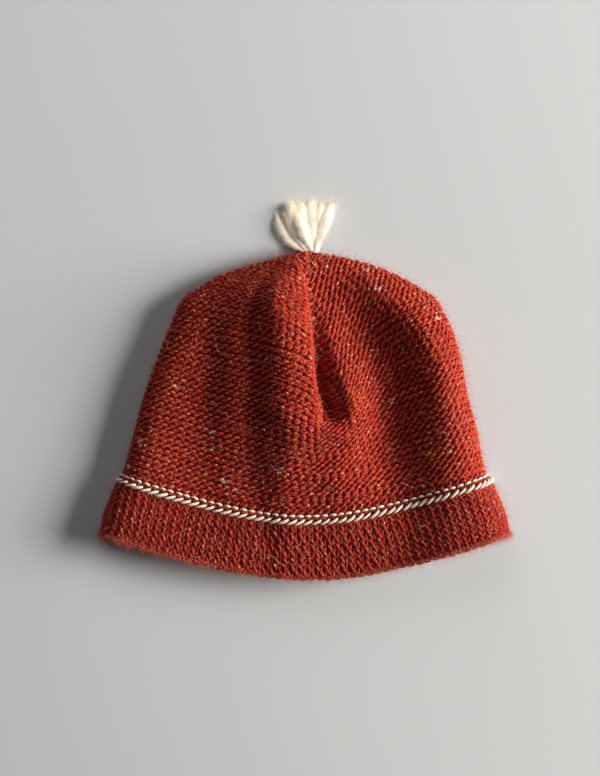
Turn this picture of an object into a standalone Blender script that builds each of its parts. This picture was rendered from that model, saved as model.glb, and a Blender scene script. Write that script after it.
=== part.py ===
"""Knitted baby hat, lying on its back on z = 0.

Frame: +X to the hat's right as it lies, +Y from the opening to the tassel, +Z up.
The origin is under the middle of the hat, at the height of the surface it lies on.
Rows run round the hat from the hem to the top. Each row is one closed ring: its
front half runs over the folds of the upper layer, its back half lies flat.
All sizes below are millimetres; the objects are made in metres.
"""

import math

import bpy
import numpy as np

MM = 0.001

# ---- outline of the lying hat: the two folded side edges, from hem to top ----
# columns: y, x of the left edge, x of the right edge
EDGE = (
    (-69.4, -100.8, 101.0),  # hem corners
    (-60.3, -98.9, 99.2),
    (-48.5, -94.3, 94.3),  # stripe
    (-36.8, -88.9, 88.9),
    (-19.1, -84.0, 85.0),
    (-1.5, -79.1, 80.6),
    (16.2, -72.8, 77.2),
    (33.8, -65.9, 71.5),
    (39.7, -63.5, 68.4),
    (45.4, -60.0, 64.9),  # shoulders
    (51.0, -52.2, 57.1),
    (56.8, -42.2, 46.8),
    (62.3, -26.5, 33.6),
    (67.9, -4.8, 9.6),
)
TOP = (1.7, 69.1)  # x, y of the point where all wales meet
HEM_MID = (3.0, -91.1)  # x, y of the middle of the hem
STRIPE_MID = (0.5, -64.0)  # x, y of the middle of the cream stripe
STRIPE_EDGE_Y = -43.5  # y at which the stripe meets the side edges
SAG = 0.55  # how round the rows are in plan: small is a sharper bend

# ---- rows: share of the way from hem (0) to top (1) ----
ROW_STRIPE = 0.170
ROW_BRAID = 0.011  # half of the braid's height
ROW_GAP = 0.0011  # between neighbouring pieces

# ---- folds of the upper layer: one row per fold line ----
# stations: y at which each line's x and height are given
FOLD_Y = (-88.0, -63.0, -40.0, -19.0, -9.0, 3.0, 25.0, 45.0, 63.0)
# name: x at the stations, height z of the outer surface at the stations
FOLDS = (
    (
        "shelf_start",
        (-80, -80, -75, -70, -66, -62, -54, -46, -28),
        (14.8, 15.4, 15.0, 14.7, 14.7, 14.8, 14.7, 14.4, 10.8),
    ),
    (
        "shelf_end",
        (-51, -51, -53, -53, -51, -49, -47, -38, -22),
        (13.8, 14.0, 14.2, 14.6, 14.6, 14.8, 15.2, 16.8, 11.5),
    ),
    (
        "step",
        (-27, -30, -34, -34, -33, -32, -33, -29, -18),
        (13.6, 14.4, 16.8, 18.9, 20.1, 20.5, 20.5, 20.4, 13.0),
    ),
    (
        "dip",
        (-20, -22, -27, -27, -26, -25, -25, -22, -14),
        (13.4, 14.5, 17.4, 20.1, 20.9, 21.3, 21.6, 21.8, 13.2),
    ),
    (
        "ridge_a",
        (-6, -7, -6, -2, -9, -9, -11, -15, -9),
        (14.5, 16.5, 23.0, 28.4, 29.8, 30.0, 30.0, 27.2, 15.0),
    ),
    (
        "lip",
        (0, -1, 1, 6.5, 4.5, 2.0, 0.0, -1.8, -3),
        (14.0, 16.0, 22.4, 27.0, 27.0, 27.3, 26.0, 24.0, 14.5),
    ),
    (
        "valley_ab",
        (4, 5, 6, 12, 10.5, 6.5, 4.0, 2.0, 0.0),
        (13.5, 15.5, 22.0, 26.4, 16.5, 15.2, 15.4, 16.2, 12.0),
    ),
    (
        "ridge_b",
        (14, 15, 14, 21, 23, 20, 13, 9, 6),
        (13.5, 15.5, 21.8, 25.0, 25.2, 23.8, 18.6, 15.0, 12.0),
    ),
    (
        "valley_bc",
        (46, 46, 43, 41, 39, 38, 31, 21, 12),
        (13.4, 14.0, 13.2, 12.4, 12.3, 12.3, 12.1, 14.0, 11.0),
    ),
    (
        "ridge_c",
        (74, 76, 72, 71, 71, 71, 62, 47, 26),
        (18.5, 19.8, 22.0, 24.0, 24.5, 25.0, 24.0, 20.0, 12.5),
    ),
)
FOLD_SOFTEN = 2.4  # sigma of the softening of the fold field

# ---- rounding of the side edges ----
EDGE_Z = 4.5  # height of the widest point of the folded edge
ROUND_UPPER = (13.0, 16.0)  # width of the upper rounding at the left, right side
ROUND_LOWER = 5.0  # width of the rounding onto the surface below

# ---- walls ----
WALL_CROWN = 2.4
WALL_BRIM = 3.0
WALL_BRAID = 2.6
BRAID_PROUD = 1.0  # how far the braid stands out of the wall
HEM_ROUND = 1.3  # how far the rounded hem reaches past its last row

# ---- mesh density ----
COLS_FRONT = 56
COLS_BACK = 22
FRONT_CROWD = 0.35  # 0 even columns, 1 fully crowded to the side edges
BACK_CROWD = 0.8
ROWS_CROWN = 23
CROWN_SOLID_ROWS = 2  # rows at the top where the shell closes
ROWS_BRIM = 4
ROWS_BRAID = 4

# ---- tassel ----
TASSEL_COLS = 40
# columns: share of the length, half width, height, bend of the middle line in x
TASSEL_ROWS = (
    (0.00, 2.6, 4.6, 0.0),
    (0.10, 3.1, 5.4, 0.1),
    (0.22, 3.6, 5.8, 0.2),
    (0.36, 5.4, 6.2, 0.1),
    (0.52, 8.3, 6.4, -0.3),
    (0.68, 10.6, 6.0, -0.6),
    (0.84, 12.0, 5.2, -0.9),
    (0.94, 12.4, 3.8, -1.0),
    (1.00, 12.2, 1.8, -1.0),
)
# lengths of the locks from left to right, measured from the neck
TASSEL_LOCKS = (17.5, 20.5, 23.5, 24.0, 23.2, 21.0)
TASSEL_LOBE = 0.16  # depth of the grooves between the locks
TASSEL_START_Y = 69.5


# ------------------------------------------------------------- curves
def slopes(xs, ys):
    """Slopes of a curve that never swings past its points, along the last axis."""
    h = np.diff(xs, axis=-1)
    d = np.diff(ys, axis=-1) / h
    a, b = d[..., :-1], d[..., 1:]
    ha, hb = h[..., :-1], h[..., 1:]
    w1, w2 = 2 * hb + ha, hb + 2 * ha
    same = a * b > 0
    safe_a, safe_b = np.where(same, a, 1.0), np.where(same, b, 1.0)
    inner = np.where(same, (w1 + w2) / (w1 / safe_a + w2 / safe_b), 0.0)
    return np.concatenate([d[..., :1], inner, d[..., -1:]], axis=-1)


def curve(xs, ys, x):
    """The curve through (xs, ys) at x. xs and ys may hold one row for each x."""
    x = np.asarray(x, float)
    xs = np.broadcast_to(xs, x.shape + np.shape(xs)[-1:]).astype(float)
    ys = np.broadcast_to(ys, x.shape + np.shape(ys)[-1:]).astype(float)
    m = slopes(xs, ys)
    i = np.clip((x[..., None] >= xs).sum(-1) - 1, 0, xs.shape[-1] - 2)[..., None]

    def pick(a, k):
        return np.take_along_axis(a, k, -1)[..., 0]

    x0, x1 = pick(xs, i), pick(xs, i + 1)
    y0, y1 = pick(ys, i), pick(ys, i + 1)
    m0, m1 = pick(m, i), pick(m, i + 1)
    h = x1 - x0
    t = np.clip((x - x0) / h, 0.0, 1.0)
    t2, t3 = t * t, t * t * t
    return (
        (2 * t3 - 3 * t2 + 1) * y0
        + (t3 - 2 * t2 + t) * h * m0
        + (3 * t2 - 2 * t3) * y1
        + (t3 - t2) * h * m1
    )


def edge_path(side):
    """Points of one side edge from the hem to the top, close together, and their lengths."""
    rows = np.array([(r[0], r[1 + side]) for r in EDGE] + [(TOP[1], TOP[0])])
    step = np.hypot(np.diff(rows[:, 0]), np.diff(rows[:, 1]))
    at = np.concatenate([[0.0], np.cumsum(step)])
    fine = np.linspace(0.0, at[-1], 400)
    x, y = curve(at, rows[:, 1], fine), curve(at, rows[:, 0], fine)
    length = np.concatenate([[0.0], np.cumsum(np.hypot(np.diff(x), np.diff(y)))])
    return x, y, length


PATHS = [edge_path(0), edge_path(1)]


def on_edge(side, v):
    """Plan point of a side edge at row share v."""
    x, y, length = PATHS[side]
    stripe = np.interp(STRIPE_EDGE_Y, y, length)
    s = np.interp(v, (0.0, ROW_STRIPE, 1.0), (0.0, stripe, length[-1]))
    return np.interp(s, length, x), np.interp(s, length, y)


def on_middle(v):
    x = curve(
        np.array([0.0, ROW_STRIPE, 1.0]), np.array([HEM_MID[0], STRIPE_MID[0], TOP[0]]), v
    )
    y = np.interp(v, (0.0, ROW_STRIPE, 1.0), (HEM_MID[1], STRIPE_MID[1], TOP[1]))
    return x, y


def plan(u, v):
    """Plan point of the row share v at u, -1 on the left edge to 1 on the right edge."""
    xl, yl = on_edge(0, v)
    xr, yr = on_edge(1, v)
    xm, ym = on_middle(v)
    left = u < 0
    xe, ye = np.where(left, xl, xr), np.where(left, yl, yr)
    bend = (np.sqrt(SAG**2 + u**2) - SAG) / (math.sqrt(SAG**2 + 1) - SAG)
    return xm + (xe - xm) * np.abs(u), ym + (ye - ym) * bend


def fold_field():
    """The upper layer's height on an even 1 mm grid, softened."""
    gx = np.arange(-125.0, 126.0, 1.0)
    gy = np.arange(-120.0, 96.0, 1.0)
    ys = np.array(FOLD_Y)
    lines_x = np.stack([curve(ys, np.array(f[1], float), gy) for f in FOLDS], -1)
    lines_z = np.stack([curve(ys, np.array(f[2], float), gy) for f in FOLDS], -1)
    # level ground outside the first and the last line
    lines_x = np.concatenate([lines_x[:, :1] - 60, lines_x, lines_x[:, -1:] + 60], 1)
    lines_z = np.concatenate([lines_z[:, :1] - 3, lines_z, lines_z[:, -1:] - 3], 1)
    xx = np.broadcast_to(gx, (len(gy), len(gx)))
    field = curve(lines_x[:, None, :], lines_z[:, None, :], xx)
    reach = int(math.ceil(3 * FOLD_SOFTEN))
    kernel = np.exp(-0.5 * (np.arange(-reach, reach + 1) / FOLD_SOFTEN) ** 2)
    kernel /= kernel.sum()
    for axis in (0, 1):
        pads = [(0, 0), (0, 0)]
        pads[axis] = (reach, reach)
        padded = np.pad(field, pads, mode="edge")
        field = sum(
            k * np.take(padded, np.arange(i, i + field.shape[axis]), axis)
            for i, k in enumerate(kernel)
        )
    return gx, gy, field


GX, GY, FIELD = fold_field()


def field_at(x, y):
    fx, fy = (x - GX[0]), (y - GY[0])
    i = np.clip(np.floor(fx).astype(int), 0, len(GX) - 2)
    j = np.clip(np.floor(fy).astype(int), 0, len(GY) - 2)
    a, b = fx - i, fy - j
    return (
        FIELD[j, i] * (1 - a) * (1 - b)
        + FIELD[j, i + 1] * a * (1 - b)
        + FIELD[j + 1, i] * (1 - a) * b
        + FIELD[j + 1, i + 1] * a * b
    )


def edge_distance(x, y):
    """Plan distance to the nearer side edge."""
    best = np.full(np.shape(x), 1e9)
    for ex, ey, _ in PATHS:
        for k in range(len(ex) - 1):
            dx, dy = ex[k + 1] - ex[k], ey[k + 1] - ey[k]
            t = np.clip(((x - ex[k]) * dx + (y - ey[k]) * dy) / (dx * dx + dy * dy), 0, 1)
            best = np.minimum(best, np.hypot(x - ex[k] - t * dx, y - ey[k] - t * dy))
    return best


def upper_z(x, y, d):
    side = 1 / (1 + np.exp(-x / 12.0))
    width = ROUND_UPPER[0] + (ROUND_UPPER[1] - ROUND_UPPER[0]) * side
    g = np.sqrt(1 - (1 - np.clip(d / width, 0, 1)) ** 2)
    return EDGE_Z + (field_at(x, y) - EDGE_Z) * g


def lower_z(d):
    return EDGE_Z * (1 - np.sqrt(1 - (1 - np.clip(d / ROUND_LOWER, 0, 1)) ** 2))


# ------------------------------------------------------------- rings
def columns():
    """u and side (1 upper, 0 lower) of the columns round a row, from the left edge over the top."""

    def spread(n, crowd):
        t = np.arange(n) / n
        return (1 - crowd) * (2 * t - 1) - crowd * np.cos(np.pi * t)

    u = np.concatenate([spread(COLS_FRONT, FRONT_CROWD), -spread(COLS_BACK, BACK_CROWD)])
    upper = np.concatenate([np.ones(COLS_FRONT), np.zeros(COLS_BACK)])
    return u, upper


U, UPPER = columns()


def outer(v):
    """Outer surface at the row shares v: an array of rows by columns by 3."""
    vv, uu = np.meshgrid(v, U, indexing="ij")
    x, y = plan(uu, vv)
    d = edge_distance(x, y)
    z = np.where(UPPER[None, :] > 0, upper_z(x, y, d), lower_z(d))
    return np.stack([x, y, z], -1)


def normals(v):
    """Unit normals out of the wall at the same points, from neighbouring rows and columns."""
    step = 0.004
    here = outer(v)
    ahead, behind = outer(np.minimum(v + step, 1.0)), outer(np.maximum(v - step, 0.0))
    along = ahead - behind
    around = np.roll(here, -1, 1) - np.roll(here, 1, 1)
    n = np.cross(around, along)
    return n / np.linalg.norm(n, axis=-1, keepdims=True)


def add_object(name, points, faces, colour, roughness, sharp_deg=45.0):
    mesh = bpy.data.meshes.new(name)
    mesh.from_pydata((np.asarray(points) * MM).tolist(), [], [list(map(int, f)) for f in faces])
    mesh.polygons.foreach_set("use_smooth", [True] * len(mesh.polygons))
    mesh.update()
    mesh.set_sharp_from_angle(angle=math.radians(sharp_deg))
    obj = bpy.data.objects.new(name, mesh)
    bpy.context.scene.collection.objects.link(obj)
    mat = bpy.data.materials.new(name + "_material")
    mat.use_nodes = True
    shader = mat.node_tree.nodes["Principled BSDF"]
    shader.inputs["Base Color"].default_value = (*colour, 1.0)
    shader.inputs["Roughness"].default_value = roughness
    shader.inputs["Metallic"].default_value = 0.0
    mesh.materials.append(mat)
    return obj


def strips(points, rings, closed_loop, flip=False):
    """Triangles between neighbouring closed rings of equal length, split along the shorter diagonal."""
    n = len(rings[0])
    faces = []
    pairs = list(zip(rings[:-1], rings[1:]))
    if closed_loop:
        pairs.append((rings[-1], rings[0]))
    for a, b in pairs:
        for k in range(n):
            m = (k + 1) % n
            one = np.linalg.norm(points[a[k]] - points[b[m]])
            two = np.linalg.norm(points[a[m]] - points[b[k]])
            if one <= two:
                faces += [(a[k], b[m], a[m]), (a[k], b[k], b[m])]
            else:
                faces += [(a[k], b[k], a[m]), (b[k], b[m], a[m])]
    return [f[::-1] for f in faces] if flip else faces


def fan(ring, centre, flip=False):
    n = len(ring)
    faces = [(ring[k], centre, ring[(k + 1) % n]) for k in range(n)]
    return [f[::-1] for f in faces] if flip else faces


def facing_out(points, faces):
    p = np.asarray(points)[np.asarray(faces)]
    volume = np.einsum("ij,ij->i", p[:, 0], np.cross(p[:, 1], p[:, 2])).sum()
    return faces if volume > 0 else [f[::-1] for f in faces]


def make_crown():
    v = np.linspace(ROW_STRIPE + ROW_BRAID + ROW_GAP, 1.0, ROWS_CROWN + 1)[:-1]
    out = outer(v)
    inner = out - normals(v) * WALL_CROWN
    inner = inner[: len(v) - CROWN_SOLID_ROWS]
    n = out.shape[1]
    apex = np.array([[TOP[0], TOP[1], EDGE_Z]])
    middle = inner[-1].mean(0, keepdims=True)
    middle[0, 2] = EDGE_Z + 0.5
    points = np.concatenate([out.reshape(-1, 3), inner.reshape(-1, 3), apex, middle])
    ring_out = [np.arange(n) + k * n for k in range(len(out))]
    ring_in = [np.arange(n) + (len(out) + k) * n for k in range(len(inner))]
    at_apex, at_middle = len(points) - 2, len(points) - 1
    faces = strips(points, ring_out, False) + fan(ring_out[-1], at_apex)
    faces += strips(points, ring_in, False, flip=True) + fan(ring_in[-1], at_middle, flip=True)
    faces += strips(points, [ring_in[0], ring_out[0]], False)
    add_object("crown", points, facing_out(points, faces), (0.42, 0.045, 0.022), 0.92)


def make_band(name, v, wall, proud, colour, hem=0.0):
    out = outer(v)
    nrm = normals(v)
    inner = out - nrm * wall
    # the braid stands proud only where it isn't lying on the surface
    free = np.clip(nrm[..., 2:3] * 2 + 1.2, 0, 1)
    bulge = np.sin(np.pi * (np.arange(len(v)) + 0.35) / (len(v) - 0.3)) if proud else np.zeros(len(v))
    out = out + nrm * (proud * bulge[:, None, None] * free)
    out[..., 2] = np.maximum(out[..., 2], 0.0)
    rows = list(out) + list(inner[::-1])
    if hem:
        down = out[0] - out[1]
        down[:, 2] = 0.0
        down /= np.linalg.norm(down, axis=1, keepdims=True)
        rows.append((out[0] + inner[0]) / 2 + down * hem)
    n = out.shape[1]
    points = np.concatenate(rows)
    rings = [np.arange(n) + k * n for k in range(len(rows))]
    faces = strips(points, rings, True)
    add_object(name, points, facing_out(points, faces), colour, 0.92)


def make_tassel():
    rows = np.array(TASSEL_ROWS)
    angle = 2 * np.pi * np.arange(TASSEL_COLS) / TASSEL_COLS
    across, up = -np.cos(angle), np.sin(angle)
    locks = np.array(TASSEL_LOCKS)
    place = (across + 1) / 2 * len(locks)
    which = np.clip(place.astype(int), 0, len(locks) - 1)
    inside = 2 * (place - which) - 1  # -1 to 1 across one lock
    inside = np.clip(inside, -1, 1)
    tip = locks[which] - 2.6 * np.abs(inside) ** 3
    groove = 1 - TASSEL_LOBE * np.abs(inside) ** 4
    points = []
    for share, half, height, bend in rows:
        spread = np.clip((share - 0.2) / 0.5, 0, 1)
        lobe = 1 + (groove - 1) * spread
        length = (1 - spread) * share * locks.mean() + spread * share * tip
        box = np.sign(up) * np.abs(up) ** 0.6
        x = TOP[0] + bend + half * across
        y = TASSEL_START_Y + length
        z = height / 2 * (1 + box * lobe)
        points.append(np.stack([x, y, z], 1))
    points = np.concatenate(points)
    n, k = TASSEL_COLS, len(rows)
    first, last = points[:n].mean(0), points[-n:].mean(0) + np.array([0.0, 0.5, 0.0])
    points = np.concatenate([points, [first, last]])
    rings = [np.arange(n) + i * n for i in range(k)]
    faces = strips(points, rings, False)
    faces += fan(rings[-1], n * k + 1) + fan(rings[0], n * k, flip=True)
    add_object("tassel", points, facing_out(points, faces), (0.80, 0.70, 0.55), 0.9)


def clear_scene():
    for obj in list(bpy.data.objects):
        bpy.data.objects.remove(obj, do_unlink=True)


def main():
    clear_scene()
    low, high = ROW_STRIPE - ROW_BRAID, ROW_STRIPE + ROW_BRAID
    make_crown()
    make_band(
        "brim",
        np.linspace(0.004, low - ROW_GAP, ROWS_BRIM),
        WALL_BRIM,
        0.0,
        (0.45, 0.05, 0.025),
        hem=HEM_ROUND,
    )
    make_band(
        "braid", np.linspace(low, high, ROWS_BRAID), WALL_BRAID, BRAID_PROUD, (0.72, 0.60, 0.44)
    )
    make_tassel()


main()
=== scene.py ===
"""Looks of the knitted baby hat: every stitch is a real loop of yarn, laid in rows over
the folds of the lying hat. Sizes in the tables are millimetres, in the frame of the CAD.
"""

import math

import bpy
import numpy as np
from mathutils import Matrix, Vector


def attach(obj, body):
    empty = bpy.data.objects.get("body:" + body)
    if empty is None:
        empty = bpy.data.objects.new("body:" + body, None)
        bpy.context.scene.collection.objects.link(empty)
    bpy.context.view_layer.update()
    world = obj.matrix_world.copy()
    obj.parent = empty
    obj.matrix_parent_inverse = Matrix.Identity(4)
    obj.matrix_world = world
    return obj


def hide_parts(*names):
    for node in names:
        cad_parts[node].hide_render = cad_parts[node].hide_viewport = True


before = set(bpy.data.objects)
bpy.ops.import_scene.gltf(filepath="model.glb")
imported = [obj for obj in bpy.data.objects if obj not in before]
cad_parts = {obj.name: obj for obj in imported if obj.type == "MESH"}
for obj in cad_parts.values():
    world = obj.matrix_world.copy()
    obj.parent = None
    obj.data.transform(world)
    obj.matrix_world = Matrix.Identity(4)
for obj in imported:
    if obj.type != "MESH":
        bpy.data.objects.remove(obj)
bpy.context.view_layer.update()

MM = 0.001
rng = np.random.default_rng(11)

# ---- outline: columns y, x of the left edge, x of the right edge ----
EDGE = (
    (-69.4, -100.8, 101.0),
    (-60.3, -98.9, 99.2),
    (-48.5, -94.3, 94.3),
    (-36.8, -88.9, 88.9),
    (-19.1, -84.0, 85.0),
    (-1.5, -79.1, 80.6),
    (16.2, -72.8, 77.2),
    (33.8, -65.9, 71.5),
    (39.7, -63.5, 68.4),
    (45.4, -60.0, 64.9),
    (51.0, -52.2, 57.1),
    (56.8, -42.2, 46.8),
    (62.3, -26.5, 33.6),
    (67.9, -4.8, 9.6),
)
TOP = (1.7, 69.1)
HEM_MID = (3.0, -91.1)
STRIPE_MID = (0.5, -64.0)
STRIPE_EDGE_Y = -43.5
SAG = 0.55
ROW_STRIPE = 0.170

# ---- folds: name, x at the stations, outer height at the stations ----
FOLD_Y = (-88.0, -63.0, -40.0, -19.0, -9.0, 3.0, 25.0, 45.0, 63.0)
FOLDS = (
    (
        "shelf_start",
        (-80, -80, -75, -70, -66, -62, -54, -46, -28),
        (14.8, 15.4, 15.0, 14.7, 14.7, 14.8, 14.7, 14.4, 10.8),
    ),
    (
        "shelf_end",
        (-51, -51, -53, -53, -51, -49, -47, -38, -22),
        (13.8, 14.0, 14.2, 14.6, 14.6, 14.8, 15.2, 16.8, 11.5),
    ),
    (
        "step",
        (-27, -30, -34, -34, -33, -32, -33, -29, -18),
        (13.6, 14.4, 16.8, 18.9, 20.1, 20.5, 20.5, 20.4, 13.0),
    ),
    (
        "dip",
        (-20, -22, -27, -27, -26, -25, -25, -22, -14),
        (13.4, 14.5, 17.4, 20.1, 20.9, 21.3, 21.6, 21.8, 13.2),
    ),
    (
        "ridge_a",
        (-6, -7, -6, -2, -9, -9, -11, -15, -9),
        (14.5, 16.5, 23.0, 28.4, 29.8, 30.0, 30.0, 27.2, 15.0),
    ),
    (
        "lip",
        (0, -1, 1, 6.5, 4.5, 2.0, 0.0, -1.8, -3),
        (14.0, 16.0, 22.4, 27.0, 27.0, 27.3, 26.0, 24.0, 14.5),
    ),
    (
        "valley_ab",
        (4, 5, 6, 12, 10.5, 6.5, 4.0, 2.0, 0.0),
        (13.5, 15.5, 22.0, 26.4, 16.5, 15.2, 15.4, 16.2, 12.0),
    ),
    (
        "ridge_b",
        (14, 15, 14, 21, 23, 20, 13, 9, 6),
        (13.5, 15.5, 21.8, 25.0, 25.2, 23.8, 18.6, 15.0, 12.0),
    ),
    (
        "valley_bc",
        (46, 46, 43, 41, 39, 38, 31, 21, 12),
        (13.4, 14.0, 13.2, 12.4, 12.3, 12.3, 12.1, 14.0, 11.0),
    ),
    (
        "ridge_c",
        (74, 76, 72, 71, 71, 71, 62, 47, 26),
        (18.5, 19.8, 22.0, 24.0, 24.5, 25.0, 24.0, 20.0, 12.5),
    ),
)
FOLD_SOFTEN = 1.5
EDGE_Z = 4.5
ROUND_UPPER = (13.0, 16.0)
ROUND_LOWER = 5.0

# the long fold rolls over the hollow to its right: y, how far its crest leans over
LEAN = ((-22, 0.0), (-15, 0.8), (-9, 2.5), (3, 3.6), (25, 4.0), (45, 3.5), (58, 1.5), (66, 0.0))
LEAN_REACH = 22.0  # width over which the lean fades out to the left of the crest

# ---- rows of the crown: where the two arms of each row meet, f from stripe 0 to top 1 ----
# columns: f, x, y
MEET = (
    (0.0, 0.5, -64.0),
    (0.0215, 0.6, -60.6),
    (0.10, 2.5, -48.7),
    (0.20, 4.0, -34.5),
    (0.35, 8.0, -17.0),
    (0.50, 8.5, -3.5),
    (0.60, 6.0, 10.0),
    (0.70, 4.5, 24.5),
    (0.80, 3.2, 39.5),
    (0.90, 2.2, 55.0),
    (1.00, 1.7, 69.1),
)
ARM_U = (0.0, 0.15, 0.35, 0.65, 1.0)  # stations along an arm, from the meeting point out
# columns: f, share of the way across at the three inner stations, share of the way up
ARM_LEFT = (
    (0.0, (0.15, 0.35, 0.65), (0.034, 0.172, 0.510)),
    (0.10, (0.15, 0.35, 0.65), (0.07, 0.23, 0.58)),
    (0.20, (0.15, 0.35, 0.65), (0.12, 0.30, 0.62)),
    (0.35, (0.10, 0.33, 0.65), (0.22, 0.52, 0.77)),
    (0.50, (0.07, 0.33, 0.65), (0.44, 0.74, 0.89)),
    (0.60, (0.08, 0.33, 0.65), (0.46, 0.75, 0.90)),
    (0.70, (0.11, 0.35, 0.65), (0.46, 0.73, 0.88)),
    (0.80, (0.16, 0.40, 0.70), (0.42, 0.68, 0.87)),
    (0.90, (0.18, 0.42, 0.70), (0.36, 0.62, 0.84)),
    (1.0, (0.18, 0.40, 0.70), (0.30, 0.55, 0.80)),
)
ARM_RIGHT = (
    (0.0, (0.15, 0.35, 0.65), (0.034, 0.172, 0.510)),
    (0.10, (0.15, 0.35, 0.65), (0.07, 0.25, 0.56)),
    (0.20, (0.15, 0.35, 0.65), (0.08, 0.28, 0.63)),
    (0.35, (0.16, 0.32, 0.63), (0.10, 0.34, 0.71)),
    (0.50, (0.14, 0.35, 0.63), (0.14, 0.44, 0.75)),
    (0.60, (0.14, 0.32, 0.63), (0.16, 0.42, 0.77)),
    (0.70, (0.20, 0.42, 0.72), (0.20, 0.48, 0.80)),
    (0.80, (0.26, 0.48, 0.74), (0.24, 0.52, 0.80)),
    (0.90, (0.24, 0.46, 0.72), (0.24, 0.50, 0.78)),
    (1.0, (0.20, 0.42, 0.70), (0.20, 0.45, 0.74)),
)

# ---- the knit ----
WALE = 4.05  # width of a stitch
COURSE = 3.1  # height of a row of the crown
ROWS_CROWN = 46
ROW_EASE = 0.17  # rows lie closer than the mean by this share at the stripe, wider at the top
CREAM_ROW = 0.0215  # share of the crown at which the row of cream heads lies
ROWS_BRIM = 8
YARN = 0.78  # radius of the yarn
LOOP_HIGH = 2.33  # half height of a loop
LOOP_SWAY = 0.80  # how far its legs bow out
LOOP_DEEP = 0.72  # how far its head stands in front of its legs
# the yarn's own twist leans every loop over: its head along the row, its arcs out of level,
# one side of each arc and one leg to the front, and the front leg fuller; mm, share
CROWN_SKEW = (0.19, 0.34, 0.22, 0.0, 0.0)
BRIM_LOOP = (0.89, 0.50, 2.35, 1.12)  # radius, depth, half height, bow of the legs
BRIM_SKEW = (-0.22, 0.0, 0.0, 0.15, 0.06)
SIDES = 5
FRONT_STEPS = 14  # pieces of yarn in a stitch, upper layer
BACK_STEPS = 8
SAMPLES = 150  # samples along each arm of a row


# ------------------------------------------------------------- curves
def slopes(xs, ys):
    h = np.diff(xs, axis=-1)
    d = np.diff(ys, axis=-1) / h
    a, b = d[..., :-1], d[..., 1:]
    ha, hb = h[..., :-1], h[..., 1:]
    w1, w2 = 2 * hb + ha, hb + 2 * ha
    same = a * b > 0
    safe_a, safe_b = np.where(same, a, 1.0), np.where(same, b, 1.0)
    inner = np.where(same, (w1 + w2) / (w1 / safe_a + w2 / safe_b), 0.0)
    return np.concatenate([d[..., :1], inner, d[..., -1:]], axis=-1)


def curve(xs, ys, x):
    """The curve through (xs, ys) at x. It never swings past its points."""
    x = np.asarray(x, float)
    xs = np.broadcast_to(xs, x.shape + np.shape(xs)[-1:]).astype(float)
    ys = np.broadcast_to(ys, x.shape + np.shape(ys)[-1:]).astype(float)
    m = slopes(xs, ys)
    i = np.clip((x[..., None] >= xs).sum(-1) - 1, 0, xs.shape[-1] - 2)[..., None]

    def pick(a, k):
        return np.take_along_axis(a, k, -1)[..., 0]

    x0, x1 = pick(xs, i), pick(xs, i + 1)
    y0, y1 = pick(ys, i), pick(ys, i + 1)
    m0, m1 = pick(m, i), pick(m, i + 1)
    h = x1 - x0
    t = np.clip((x - x0) / h, 0.0, 1.0)
    t2, t3 = t * t, t * t * t
    return (
        (2 * t3 - 3 * t2 + 1) * y0
        + (t3 - 2 * t2 + t) * h * m0
        + (3 * t2 - 2 * t3) * y1
        + (t3 - t2) * h * m1
    )


def smooth(a, b, x):
    """0 at a and before, 1 at b and after."""
    t = np.clip((np.asarray(x, float) - a) / (b - a), 0, 1)
    return t * t * (3 - 2 * t)


def edge_path(side):
    rows = np.array([(r[0], r[1 + side]) for r in EDGE] + [(TOP[1], TOP[0])])
    step = np.hypot(np.diff(rows[:, 0]), np.diff(rows[:, 1]))
    at = np.concatenate([[0.0], np.cumsum(step)])
    fine = np.linspace(0.0, at[-1], 400)
    x, y = curve(at, rows[:, 1], fine), curve(at, rows[:, 0], fine)
    length = np.concatenate([[0.0], np.cumsum(np.hypot(np.diff(x), np.diff(y)))])
    return x, y, length


PATHS = [edge_path(0), edge_path(1)]


def on_edge(side, v):
    x, y, length = PATHS[side]
    stripe = np.interp(STRIPE_EDGE_Y, y, length)
    s = np.interp(v, (0.0, ROW_STRIPE, 1.0), (0.0, stripe, length[-1]))
    return np.interp(s, length, x), np.interp(s, length, y)


def on_middle(v):
    x = curve(
        np.array([0.0, ROW_STRIPE, 1.0]), np.array([HEM_MID[0], STRIPE_MID[0], TOP[0]]), v
    )
    y = np.interp(v, (0.0, ROW_STRIPE, 1.0), (HEM_MID[1], STRIPE_MID[1], TOP[1]))
    return x, y


def plain_plan(u, v):
    """Plan point of a row that is one simple bow. u from -1 on the left edge to 1 on the right."""
    xl, yl = on_edge(0, v)
    xr, yr = on_edge(1, v)
    xm, ym = on_middle(v)
    left = u < 0
    xe, ye = np.where(left, xl, xr), np.where(left, yl, yr)
    bend = (np.sqrt(SAG**2 + u**2) - SAG) / (math.sqrt(SAG**2 + 1) - SAG)
    return xm + (xe - xm) * np.abs(u), ym + (ye - ym) * bend


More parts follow.
